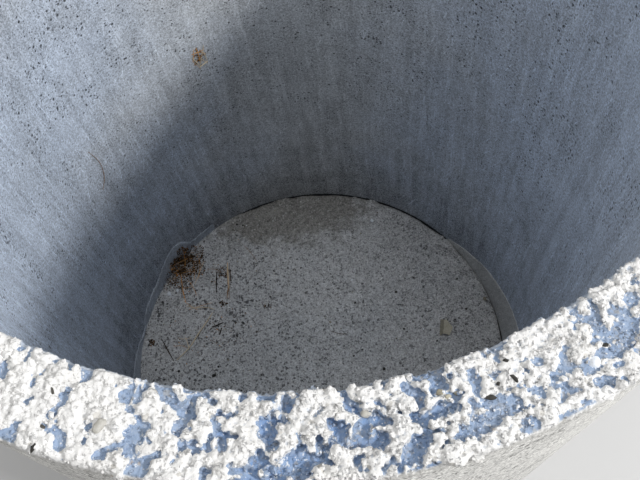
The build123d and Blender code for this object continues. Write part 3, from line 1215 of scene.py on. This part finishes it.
def mortar_finish():
    """Smeared mortar, a little paler and smoother than the wall."""
    finish = Finish("smeared_mortar", specular=0.3)
    clouds = finish.patches(0.06, 0.35, 0.65, detail=4)
    drag = finish.streaks(0.010, 3, 0.25, lean=0.4, offset=3.0)
    grains = finish.patches(3 * MM, 0.3, 0.7, detail=2)
    dots = finish.specks(7 * MM, 2.2 * MM)
    # bluish at the left as painted skylit shade like the wall's, neutral grey at the right
    colour = finish.blend(finish.x.rising(-0.2, 0.3), (0.44, 0.485, 0.55), (0.49, 0.49, 0.48))
    tone = (0.94 + clouds * 0.12) * (1.0 + (drag - 0.5) * 0.7 + (grains - 0.5) * 0.6) * (1.0 - dots * 0.55)
    relief = drag * (0.5 * MM) + grains * (0.15 * MM) - dots * (0.5 * MM)
    return finish.done(finish.shade(colour, tone), 0.8, relief)


# Dry litter that lies on the base and clings to the wall
STRAND_LIFT = 0.4
DROP_HEIGHT = 60 * MM
# Pixels that a strand runs through, radius in mm, tint from black 0 to straw 1
FLOOR_STRANDS = (
    (((227.6, 263), (228.0, 272), (228.8, 281), (229.2, 289)), 2.4, 0.92),
    (((229.6, 263), (229.8, 270), (230.2, 277), (230.4, 282)), 0.9, 0.34),
    (((227.0, 268), (227.2, 276), (228.0, 284), (228.6, 291)), 0.8, 0.66),
    (((230.6, 271), (231.0, 276), (230.8, 281)), 0.9, 0.10),
    (((228.8, 285), (227.6, 292), (227.2, 299)), 1.5, 0.60),
    (((229.6, 286), (228.8, 293), (229.4, 300)), 0.8, 0.60),
    (((217.0, 272), (216.7, 281), (216.4, 293)), 1.9, 0.02),
    (((162.0, 339.5), (166, 347), (170, 354.5), (174.5, 361.5)), 1.5, 0.12),
    (((212.6, 313), (208, 321), (198, 335), (189, 350), (176.6, 360.5)), 1.8, 1.06),
    (((186, 306), (195, 309), (206, 307), (215, 309.5)), 1.2, 1.04),
    (((184, 301), (190, 306.5), (198, 310)), 0.9, 0.84), (((189, 310), (200, 306), (212, 303)), 0.8, 0.70),
    (((185, 337), (188.5, 343), (189, 350)), 1.3, 1.06), (((178, 338), (186, 341), (191, 337)), 0.8, 0.90),
    (((174, 347), (181, 344), (187, 348)), 0.8, 0.70),
    (((212.5, 327.5), (218, 325.5), (223.5, 322.7)), 2.2, 0.02),
    (((219.5, 335), (221, 331), (221.8, 328)), 2.0, 0.04), (((201, 362), (203.8, 358)), 1.4, 0.08),
    (((181, 274), (182, 284), (183.6, 295.5)), 1.2, 0.78),
    (((182.6, 288), (184, 295), (186, 302.5)), 1.1, 0.80), (((170, 268), (178, 262), (188, 259)), 0.9, 0.82),
    (((176, 276), (184, 271), (195, 272)), 0.9, 0.78), (((183, 250), (186, 259), (185, 269)), 0.9, 0.78),
    (((193, 262), (196, 270), (194, 280)), 0.9, 0.84), (((204, 262), (200, 272), (195, 284)), 1.1, 0.90),
    (((199, 258), (202, 268), (198, 279)), 0.9, 0.76), (((188, 280), (194, 287), (197, 296)), 0.8, 0.74),
    (((178, 287), (186, 290), (192, 286)), 0.8, 0.66), (((207, 270), (214, 268), (221, 272)), 0.8, 0.60),
    (((244, 246), (251, 252), (257, 262)), 0.8, 0.50), (((330, 331), (339, 335), (347, 334)), 0.8, 0.30),
)
WALL_STRANDS = (
    (((192, 58), (196, 61.5), (200, 65.5)), 1.4, 0.98), (((200, 67), (204, 64), (207.6, 61)), 1.7, 1.0),
    (((207.6, 62), (206, 57), (203.4, 52)), 1.3, 0.96),
    (((200.5, 66), (201, 59), (202.5, 52), (203.5, 45.5)), 1.0, 0.95),
    (((193.5, 50), (194, 57), (193, 62)), 1.0, 0.84), (((196, 48), (199, 55), (200, 62)), 1.2, 0.80),
    (((192.5, 61), (197, 65), (201, 69)), 0.9, 0.90), (((195, 53), (201, 51), (206, 54)), 0.9, 0.86),
    (((194, 66), (198, 59), (204, 54)), 0.9, 0.66), (((197, 57), (203, 59), (208, 64)), 0.8, 0.92),
    (((191, 55), (198, 53), (204, 49)), 0.7, 0.76),
    (((88, 152), (97, 158), (103, 168), (105, 180), (103, 190)), 0.6, 0.62),
)
# Centre pixel, half width and half height in pixels, number of scraps, their size, height of the heap in mm
LITTER_PATCHES = (
    ((185, 264), (10, 14), 270, (0.14, 0.42), 3.5), ((184, 256), (8, 9), 200, (0.2, 0.6), 4.0),
    ((178, 267), (8, 9), 230, (0.2, 0.7), 5.0), ((190, 266), (11, 11), 310, (0.2, 0.6), 4.0),
    ((197, 252), (8, 8), 110, (0.2, 0.55), 2.0), ((183, 280), (10, 10), 230, (0.2, 0.55), 2.5),
    ((200, 264), (6, 12), 110, (0.2, 0.5), 1.5), ((172, 277), (5, 7), 50, (0.2, 0.45), 1.5),
    ((189, 293), (8, 7), 50, (0.2, 0.4), 1.0), ((152, 343), (3, 3.5), 60, (0.2, 0.5), 4.0),
    ((223, 304), (4, 3), 22, (0.3, 0.65), 2.0), ((222, 273), (6, 5), 26, (0.3, 0.6), 1.0),
    ((215, 275), (9, 11), 50, (0.2, 0.5), 1.0), ((268, 306), (5, 2), 24, (0.25, 0.55), 2.0),
    ((170, 284), (6, 9), 60, (0.2, 0.45), 1.5), ((230, 330), (28, 22), 110, (0.15, 0.5), 1.0),
    ((195, 330), (26, 36), 110, (0.15, 0.45), 1.0), ((245, 240), (30, 20), 40, (0.15, 0.4), 1.0),
)
WALL_LITTER_PATCH = ((198, 57), (5.5, 8), 34, (0.25, 0.6), 2.0)
LITTER_TINTS = (0.05, 0.2, 0.32, 0.44, 0.56, 0.74)
LITTER_TINT_SHARES = (0.22, 0.27, 0.22, 0.15, 0.09, 0.05)


def drop(place, carriers, clearance):
    """The point of the carriers' surface under a place, raised by a clearance."""
    best = None
    for carrier in carriers:
        hit, spot, _, _ = carrier.ray_cast((place[0], place[1], place[2] + DROP_HEIGHT), (0.0, 0.0, -1.0))
        if hit and (best is None or spot[2] > best):
            best = spot[2]
    return np.array((place[0], place[1], (place[2] if best is None else best) + clearance))


def make_strands(name, strands, place_at, tree):
    """Fine round strands on smooth curves, with ends that thin out."""
    curve = bpy.data.curves.new(name, "CURVE")
    curve.dimensions = "3D"
    for pixels, radius, tint in strands:
        spline = curve.splines.new("NURBS")
        spline.points.add(len(pixels) - 1)
        for point, pixel, share in zip(spline.points, pixels, np.linspace(0, 1, len(pixels))):
            arch = math.sin(share * math.pi)
            point.co = (*place_at(pixel, radius * MM * (1 + 4 * STRAND_LIFT * arch)), 1.0)
            point.radius = radius * (0.55 + 0.45 * arch)
            point.tilt = tint
        spline.order_u = 3
        spline.use_endpoint_u = True
        spline.resolution_u = 3
    bundle = new_object(name + "_lines", curve)
    grow(bundle, tree)
    return plain_mesh(bundle, name)


def strand_tree(material):
    """Round tubes along the strands' curves. A strand's tilt carries its tint."""
    tree = GrowingTree("dry_strands", **{"Strand Radius": 1.0 * MM, "Sides": 6})
    tinted = tree.tinted(tree.ground, tree.add("GeometryNodeInputCurveTilt"), "POINT")
    section = tree.add("GeometryNodeCurvePrimitiveCircle", inputs={
        "Resolution": tree.size("Sides"), "Radius": tree.size("Strand Radius")}, output="Curve")
    tubes = tree.add("GeometryNodeCurveToMesh", inputs={
        "Curve": tinted, "Profile Curve": section, "Scale": tree.add("GeometryNodeInputRadius"),
        "Fill Caps": True})
    return tree.done(tubes, material)


def scatter_points(name, places, *labels):
    """A mesh of loose points. Places are (point, number, number ...), with a label for each number."""
    mesh = bpy.data.meshes.new(name)
    mesh.from_pydata([tuple(place[0]) for place in places], [], [])
    for column, label in enumerate(labels, start=1):
        store(mesh, label, [place[column] for place in places])
    return new_object(name, mesh)


def curled_leaf(tree):
    """One scrap of leaf: a thin closed plate, narrow at its ends and curled both ways."""
    x, y = tree.x, tree.y
    plate = tree.add("GeometryNodeMeshGrid", inputs={
        "Size X": 1.0, "Size Y": 1.0, "Vertices X": 4, "Vertices Y": 3}, output="Mesh")
    shaped = tree.add("ShaderNodeCombineXYZ", inputs={
        "X": x * tree.size("Leaf Length"),
        "Y": y * (1.05 - x * x * 3.4) * tree.size("Leaf Width"),
        "Z": (x * x * 1.6 + y * y * 2.2) * tree.size("Curl") * tree.size("Leaf Length")})
    leaf = tree.add("GeometryNodeSetPosition", inputs={"Geometry": plate, "Position": shaped})
    thick = tree.add("GeometryNodeExtrudeMesh", inputs={
        "Mesh": leaf, "Offset Scale": tree.size("Leaf Thickness"), "Individual": False}, output="Mesh")
    back = tree.add("GeometryNodeFlipFaces", inputs={"Mesh": leaf})
    return tree.add("GeometryNodeMergeByDistance", inputs={
        "Geometry": tree.joined([thick, back]), "Distance": 0.02 * MM})


def leaf_tree(material):
    """Scraps of dead leaf, each with its own size, turn and tint."""
    tree = GrowingTree("leaf_litter", **{
        "Leaf Length": 11.0 * MM, "Leaf Width": 6.5 * MM, "Leaf Thickness": 0.5 * MM, "Curl": 0.35,
        "Seed": 5})
    turn = tree.chance((-0.7, -0.7, 0.0), (0.7, 0.7, math.tau), tree.size("Seed"))
    squash = tree.chance((0.6, 0.5, 0.4), (1.3, 1.2, 1.6), tree.size("Seed") + 1)
    scale = tree.vector("SCALE", squash, Scale=tree.number("size"))
    scraps = tree.copies(tree.ground, curled_leaf(tree), turn, scale, tree.number("shade"))
    return tree.done(scraps, material, smooth=False)


def strewn(patch, place_at, rng):
    """Places, sizes and tints of the scraps of one patch of litter, highest in its middle."""
    centre, half, count, sizes, heap = patch
    places = []
    for _ in range(count):
        radius = math.sqrt(rng.random())
        turn = rng.uniform(0, math.tau)
        pixel = (centre[0] + half[0] * radius * math.cos(turn), centre[1] + half[1] * radius * math.sin(turn))
        lift = (0.6 + heap * (1 - radius * radius) * rng.random()) * MM
        tint = rng.choice(LITTER_TINTS, p=LITTER_TINT_SHARES)
        places.append((place_at(pixel, lift), rng.uniform(*sizes), tint))
    return places


def make_litter(base):
    """Straws, needles and leaf scraps on the base and on the wall."""
    litter = litter_finish()

    def on_floor(pixel, clearance):
        """On the base, or against the foot of the wall where the pixel shows that."""
        place = on_level(pixel, FLOOR_LEVEL)
        if np.hypot(place[0], place[1]) > BORE_RADIUS - 9 * MM:
            return on_bore(pixel, inset=5 * MM + clearance)
        return drop(place, [base], clearance)

    def on_wall(pixel, clearance):
        return on_bore(pixel, inset=clearance + 0.3 * MM)

    tree = strand_tree(litter)
    for name, strands, place_at in (
        ("floor_straws", FLOOR_STRANDS, on_floor), ("wall_straws", WALL_STRANDS, on_wall),
    ):
        add_piece(name, make_strands(name, strands, place_at, tree), litter)
    rng = np.random.default_rng(61)
    places = []
    for patch in LITTER_PATCHES:
        places += strewn(patch, on_floor, rng)
    places += strewn(WALL_LITTER_PATCH, on_wall, rng)
    scraps = scatter_points("leaf_scraps_points", places, "size", "shade")
    grow(scraps, leaf_tree(litter))
    add_piece("leaf_scraps", plain_mesh(scraps, "leaf_scraps"), litter)


def litter_finish():
    """Dry leaf, needle and straw: a tint for each piece, from near black to straw."""
    finish = Finish("dry_litter", specular=0.2)
    fibres = finish.noise(4 * MM)
    colour = finish.ramp(
        finish.attribute("tint") + (fibres - 0.5) * 0.2,
        (0.0, (0.02, 0.015, 0.01)), (0.3, (0.10, 0.058, 0.026)), (0.6, (0.32, 0.18, 0.08)),
        (0.8, (0.85, 0.43, 0.13)), (0.95, (0.80, 0.69, 0.52)))
    return finish.done(colour, 0.85, fibres * (0.3 * MM))


# Loose stones on the base and on the rim
FLOOR_CRUMBS = (("Crumb", 1500.0, 0.9, 3.4, 5, 1, 0.55),)      # a kind of stones, as on the crown
# Pixel, radius in mm, tint from black 0 to bluish white 1
FLOOR_STONES = (
    ((169.5, 294), 6.5, 1.0), ((177.6, 290.7), 4.4, 1.0), ((172.5, 297), 3.0, 0.9), ((372, 221), 5.5, 1.0),
    ((376, 220), 2.6, 0.9), ((484.7, 299), 6.0, 0.42), ((237, 225), 3.4, 0.02), ((243, 226), 2.6, 0.05),
    ((214, 375.5), 5.0, 0.03), ((218.3, 366.4), 3.4, 0.04), ((179, 371.4), 4.2, 0.08),
    ((156, 370), 3.4, 0.10), ((281.6, 195.5), 8.0, 0.55), ((404, 329), 2.8, 0.03), ((407, 332), 2.4, 0.05),
    ((384, 369), 4.0, 0.05), ((466, 309), 3.4, 0.08), ((301, 268), 3.0, 0.10), ((355, 303), 2.8, 0.08),
    ((293, 356), 2.6, 0.06), ((354, 356), 2.8, 0.10), ((220.5, 302.5), 3.2, 0.03), ((222.8, 305), 2.8, 0.05),
    ((264, 307), 2.4, 0.1), ((457, 279), 3.4, 0.1), ((396, 292), 3.4, 0.12), ((274, 271), 2.4, 0.1),
    ((437, 341), 3.0, 0.06),
)
# Pixel, radius in mm, tint, pixel that its long axis points to, stretch, rise above the crown in radii
RIM_STONES = (
    ((99.5, 425.5), 4.2, 0.77, (106, 418), 1.6, 0.3), ((366, 411), 4.2, 0.76, (370, 411), 1.0, 0.2),
    ((597, 361), 5.0, 1.0, (602, 361), 1.15, -0.1), ((440, 391), 3.0, 0.50, (444, 391), 1.0, 0.2),
    ((448, 396), 2.6, 0.66, (452, 396), 1.0, 0.2), ((491, 396.5), 2.4, 0.10, (500, 397), 2.0, 0.1),
    ((514, 379), 1.9, 0.10, (519, 383), 2.0, 0.1), ((499, 383), 1.6, 0.12, (503, 382), 1.2, 0.1),
    ((608, 344), 1.8, 0.08, (614, 344), 2.2, 0.1), ((505.5, 360.5), 1.8, 0.06, (509, 361), 1.3, 0.1),
    ((53, 393), 1.6, 0.24, (55, 401), 3.0, 0.1), ((40.5, 426), 1.8, 0.22, (44, 430), 1.8, 0.1),
    ((33, 448), 2.0, 0.05, (36, 443), 2.2, 0.1), ((459, 390), 2.4, 0.56, (463, 390), 1.6, 0.0),
)
# A flat broken stone: pixel of each upper corner, its height in mm, pixel of the foot under it
BROKEN_STONE = (
    ((440.6, 319.2), 3, (440.8, 320.4)), ((444.4, 319.6), 14, (443.5, 321.8)),
    ((446.8, 319.8), 13, (445.5, 322.2)), ((453.0, 327.2), 11, (449.0, 327.6)),
    ((449.4, 335.2), 9, (446.4, 331.0)), ((446.2, 334.0), 10, (444.8, 330.6)),
    ((443.2, 333.6), 12, (442.8, 331.0)), ((439.4, 335.8), 2, (440.0, 334.4)),
)
BROKEN_STONE_RIDGE = (1, 6)      # the corners between its left face, darkened as painted shade, and its top
BROKEN_STONE_TINT_AND_SHADES = (0.66, 0.50, 0.30)      # its top's own colour, then its left face and its foot, darker as painted shade
# its sides, darker than its top as painted shade
BROKEN_STONE_SIDE_SHADE = 0.40


def stone_tree(material):
    """Rough stones at given points, each with its own size and tint."""
    tree = GrowingTree("loose_stones", Seed=9)
    size, seed = tree.number("size"), tree.size("Seed")
    unit = tree.add("GeometryNodeMeshIcoSphere", inputs={"Radius": 1.0, "Subdivisions": 3})
    wide, low = tree.chance(0.75, 1.05, seed), tree.chance(0.5, 0.75, seed + 1)
    lean = tree.chance(-0.25, 0.25, seed + 2)
    scale = tree.add("ShaderNodeCombineXYZ", inputs={
        "X": size * tree.number("stretch"), "Y": size * wide, "Z": size * low})
    turn = tree.add("ShaderNodeCombineXYZ", inputs={"X": lean, "Y": lean, "Z": tree.number("heading")})
    stones = tree.copies(tree.ground, unit, turn, scale, tree.number("shade"))
    return tree.done(tree.roughened(tree.roughened(stones, 5 * MM, 1.6 * MM), 2.2 * MM, 0.6 * MM), material)


def crumb_tree(material):
    """Grit and crumbs strewn over the base, thickest at the left."""
    tree = GrowingTree("floor_crumbs", **stone_sizes(FLOOR_CRUMBS), Seed=21)
    crowd = tree.clouds(tree.place, 1 / 9, 2).rising(0.35, 0.65)
    factor = tree.upward(0.7, 0.8) * crowd * (tree.x.rising(0.35, -0.45) * 0.75 + 0.25)
    return tree.done(tree.joined(tree.layers(tree.ground, FLOOR_CRUMBS, [factor])), material, smooth=False)


def broken_stone():
    """A stone with flat faces that overhangs its foot, from the pixels of its corners."""
    top = [on_level(pixel, FLOOR_LEVEL + height * MM) for pixel, height, _ in BROKEN_STONE]
    foot = [on_level(pixel, FLOOR_LEVEL - 1 * MM) for _, _, pixel in BROKEN_STONE]
    count = len(BROKEN_STONE)
    here = np.arange(count)
    after = (here + 1) % count
    sides = np.stack((here, after, after + count, here + count), axis=1)
    first, last = BROKEN_STONE_RIDGE
    right = np.arange(first, last + 1)[::-1][None, :]
    left = np.array([first, last, *range(last + 1, count), *range(first)])[None, :]
    under = (here + count)[None, :]
    mesh = new_mesh("broken_stone", np.array(top + foot), sides, right, left, under)
    mesh.shade_flat()
    # its sides, left face and foot are darker than its top as painted shade
    store(mesh, "tint", [BROKEN_STONE_SIDE_SHADE] * count + list(BROKEN_STONE_TINT_AND_SHADES), "FACE")
    return mesh


def make_stones(base, crown_parts):
    """The stones and crumbs on the base and the ones bedded in the rim."""
    material = stone_finish()
    tree = stone_tree(material)
    rng = np.random.default_rng(71)
    on_floor = [
        (drop(on_level(pixel, FLOOR_LEVEL), [base], radius * 0.3 * MM), radius * MM, tint,
         rng.uniform(0, math.tau), rng.uniform(0.8, 1.3)) for pixel, radius, tint in FLOOR_STONES
    ]
    on_rim = []
    for pixel, radius, tint, along, stretch, rise in RIM_STONES:
        place = on_level(pixel, RIM_LEVEL)
        way = on_level(along, RIM_LEVEL) - place
        bed = drop(place, crown_parts, radius * rise * MM)
        on_rim.append((bed, radius * MM, tint, math.atan2(way[1], way[0]), stretch))
    for name, places in (("floor_stones", on_floor), ("rim_stones", on_rim)):
        points = scatter_points(name + "_points", places, "size", "shade", "heading", "stretch")
        grow(points, tree)
        add_piece(name, plain_mesh(points, name), material)
    ground = new_object("crumb_ground", base.data.copy())
    grow(ground, crumb_tree(material))
    add_piece("floor_crumbs", plain_mesh(ground, "floor_crumbs"), material)
    add_piece("broken_stone", broken_stone(), material)


def stone_finish():
    """Loose stone: a tint for each, from black slate through olive grey to bluish white."""
    finish = Finish("loose_stone", specular=0.3)
    mottle = finish.noise(5 * MM)
    grains = finish.noise(1.5 * MM, detail=2)
    colour = finish.ramp(
        finish.attribute("tint") + (mottle - 0.5) * 0.12,
        (0.0, (0.02, 0.02, 0.018)), (0.25, (0.09, 0.085, 0.075)), (0.45, (0.24, 0.22, 0.17)),
        (0.65, (0.45, 0.42, 0.33)), (0.8, (0.56, 0.55, 0.52)), (1.0, (0.90, 0.94, 1.0)))
    colour = finish.shade(colour, 1.0 + (mottle - 0.5) * 0.5 + (grains - 0.5) * 0.3)
    return finish.done(colour, 0.8, mottle * (0.5 * MM) + grains * (0.2 * MM))


# Stage and lights
STAGE_RADIUS = 14.0
STAGE_SIDES = 64
LAMP_AIM = np.array((0.0, 0.0, 1.3))
AIR_STRENGTH = 0.36
AIR_SEEN_MORE = 0.56      # added where the camera or a reflection sees the air itself
# Name, direction from the ring, distance, width and power in watts
LAMPS = (
    ("overhead_softbox", (0.0, 0.0, 1.0), 4.0, 1.8, 38.0),
    ("key_softbox", (0.86, -0.51, 0.79), 4.5, 0.6, 142.0),
)


def make_stage():
    """A plain pale floor, wide enough for every view."""
    finish = Finish("pale_floor", specular=0.1)
    colour = finish.blend(finish.noise(1.5, detail=2), (0.74, 0.74, 0.74), (0.76, 0.76, 0.76))
    ring = np.arange(STAGE_SIDES)
    points = np.concatenate((polar(STAGE_RADIUS, ring * math.tau / STAGE_SIDES, 0.0), [[0.0, 0.0, 0.0]]))
    points[:, 2] -= 0.2 * MM
    faces = np.stack((ring, (ring + 1) % STAGE_SIDES, np.full(STAGE_SIDES, STAGE_SIDES)), axis=1)
    mesh = new_mesh("studio_floor", points, faces)
    mesh.materials.append(finish.done(colour, 0.9))
    new_object("studio_floor", mesh)


def add_lamp(name, direction, distance, width, power):
    """A round soft lamp that faces the ring."""
    data = bpy.data.lights.new(name, "AREA")
    data.shape = "DISK"
    data.size = width
    data.energy = power
    lamp = new_object(name, data)
    way = np.array(direction) / np.linalg.norm(direction)
    lamp.rotation_mode = "QUATERNION"
    lamp.rotation_quaternion = Vector((-way).tolist()).to_track_quat("-Z", "Y")
    lamp.location = (LAMP_AIM + way * distance).tolist()


def make_air():
    """Even light from all round, paler where the camera or a reflection sees it."""
    world = bpy.data.worlds.new("studio_air")
    bpy.context.scene.world = world
    world.use_nodes = True
    air = Tree(world.node_tree)
    air.tree.nodes.clear()
    camera_ray = air.add("ShaderNodeLightPath", output="Is Camera Ray")
    glossy_ray = air.add("ShaderNodeLightPath", output="Is Glossy Ray")
    strength = camera_ray.maths("MAXIMUM", glossy_ray) * AIR_SEEN_MORE + AIR_STRENGTH
    background = air.add("ShaderNodeBackground", inputs={"Color": (1.0, 1.0, 1.0, 1.0), "Strength": strength})
    output = air.tree.nodes.new("ShaderNodeOutputWorld")
    air.feed(output.inputs["Surface"], background)


make_camera()
crown_parts = make_crown(crown_finish())
make_wall(wall_finish())
base = make_base(base_finish())
make_mortar(mortar_finish())
bpy.context.view_layer.update()
make_litter(base)
make_stones(base, crown_parts)
make_stage()
make_air()
for lamp in LAMPS:
    add_lamp(*lamp)
bpy.context.scene.view_settings.view_transform = "Standard"
